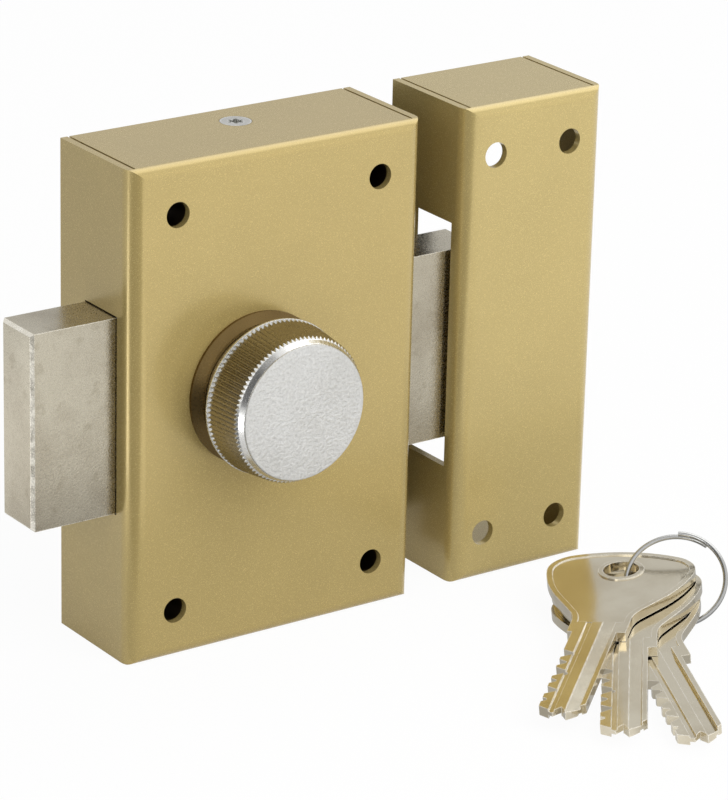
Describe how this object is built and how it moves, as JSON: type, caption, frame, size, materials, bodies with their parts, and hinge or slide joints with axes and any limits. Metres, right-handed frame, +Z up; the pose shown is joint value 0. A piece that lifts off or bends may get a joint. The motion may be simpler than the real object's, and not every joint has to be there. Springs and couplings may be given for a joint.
{
  "type": "rim deadbolt",
  "caption": "Surface-mounted rim deadbolt: folded case with knurled thumb knob and through bolt, folded keeper, round key cylinder, and keys on a ring",
  "frame": {"origin": "centre of the case's back face, on the door's surface", "axes": "+Z up, +X from the case towards the keeper, +Y into the door, away from the room"},
  "size_m": [0.1334, 0.1389, 0.1],
  "materials": {
    "case_paint": "satin champagne gold powder coat",
    "keeper_paint": "satin champagne gold powder coat",
    "zinc_steel": "zinc plated steel",
    "zinc_screw": "bright zinc plate",
    "bolt_nickel": "satin nickel plate",
    "cast_zinc": "die cast zinc, as cast",
    "gear_steel": "oiled steel",
    "spring_steel": "spring steel",
    "knob_nickel": "satin nickel with a cast face",
    "collar_bronze": "dark bronze",
    "cylinder_brass": "satin brass",
    "key_nickel": "polished nickel plate",
    "ring_steel": "bright steel wire"
  },
  "bodies": {
    "lock_set": {"case_cover": "case_paint", "back_plate": "zinc_steel", "cover_screws": "zinc_screw", "spacer_tubes": "zinc_steel", "bolt_guide_upper": "cast_zinc", "bolt_guide_lower": "cast_zinc", "guide_rivets": "zinc_steel", "knob_collar": "collar_bronze", "collar_nut": "zinc_steel", "detent_barrel": "gear_steel", "detent_ball": "spring_steel", "detent_spring": "spring_steel", "cylinder_body": "cylinder_brass", "driver_pins": "gear_steel", "pin_springs": "spring_steel", "chamber_plugs": "cylinder_brass", "cylinder_screws": "zinc_screw", "keeper": "keeper_paint", "key_ring": "ring_steel"},
    "knob_turner": {"knob": "knob_nickel", "knob_set_screw": "spring_steel", "spindle": "gear_steel", "spindle_clip": "spring_steel", "pinion": "gear_steel"},
    "bolt_slide": {"bolt": "bolt_nickel", "rack_bar": "gear_steel", "rack_screws": "zinc_screw"},
    "plug_turner": {"cylinder_plug": "cylinder_brass", "key_pins": "cylinder_brass", "plug_clip": "spring_steel", "tailpiece": "gear_steel", "tail_pin": "spring_steel"},
    "key_1_body": {"key_1": "key_nickel"},
    "key_2_body": {"key_2": "key_nickel"},
    "key_3_body": {"key_3": "key_nickel"}
  },
  "joints": [
    {"name": "knob_turn", "type": "hinge", "parent": "lock_set", "child": "knob_turner", "pos_m": [-0.0047, -0.0143, 0.00235], "axis": [0, 1, 0], "range_deg": [-105.05, 105.05]},
    {"name": "bolt_throw", "type": "slide", "parent": "lock_set", "child": "bolt_slide", "axis": [1, 0, 0], "range_m": [-0.011, 0.011]},
    {"name": "plug_turn", "type": "hinge", "parent": "lock_set", "child": "plug_turner", "pos_m": [-0.0047, -0.0143, 0.00235], "axis": [0, 1, 0], "range_deg": [-105.05, 105.05]},
    {"name": "key_1_swing", "type": "hinge", "parent": "lock_set", "child": "key_1_body", "pos_m": [0.06561, -0.05225, -0.04268], "axis": [-0.1102, 0.0434, 0.993], "range_deg": [-22, 8]},
    {"name": "key_2_swing", "type": "hinge", "parent": "lock_set", "child": "key_2_body", "pos_m": [0.06441, -0.05563, -0.04473], "axis": [-0.1102, 0.0434, 0.993], "range_deg": [-6, 6]},
    {"name": "key_3_swing", "type": "hinge", "parent": "lock_set", "child": "key_3_body", "pos_m": [0.06299, -0.0572, -0.04688], "axis": [-0.1102, 0.0434, 0.993], "range_deg": [-2, 25]}
  ],
  "couplings": [
    {"joint": "knob_turn", "follows": "bolt_throw", "rad_per_m": 166.67},
    {"joint": "plug_turn", "follows": "bolt_throw", "rad_per_m": 166.67}
  ]
}
